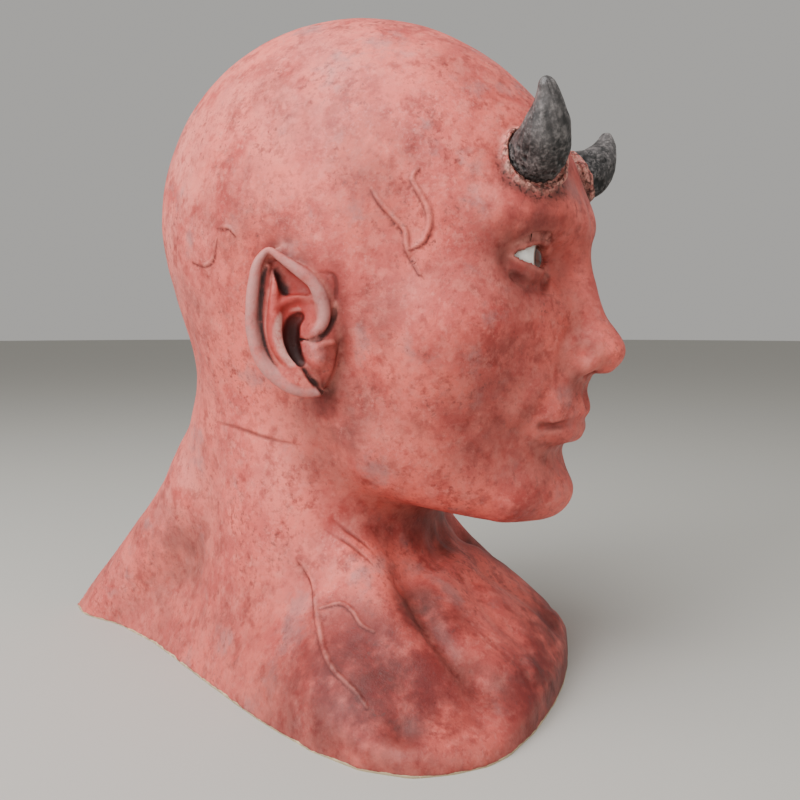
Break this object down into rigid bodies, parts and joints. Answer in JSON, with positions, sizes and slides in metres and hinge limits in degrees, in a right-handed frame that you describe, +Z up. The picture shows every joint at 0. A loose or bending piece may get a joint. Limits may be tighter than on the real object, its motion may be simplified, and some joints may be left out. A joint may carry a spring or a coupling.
{
  "type": "latex devil mask",
  "caption": "Hollow full-head latex devil mask with neck and bib, horns, pointed ears and domed eyes, standing on its flat cut rim.",
  "frame": {"origin": "middle of the bounding box's underside, on the plane of the cut rim that the mask stands on", "axes": "+Z up, -Y the way the face looks, -X the mask's right side"},
  "size_m": [0.2445, 0.3565, 0.3472],
  "materials": {
    "painted_latex": "matte-satin painted latex, mottled salmon red",
    "horn_resin": "charcoal, dry-brushed grey",
    "eye_gloss": "glossy white with a dark iris"
  },
  "bodies": {
    "root": {"latex_skin": "painted_latex", "horn_right": "horn_resin", "horn_left": "horn_resin", "eye_right": "eye_gloss", "eye_left": "eye_gloss"}
  },
  "joints": []
}
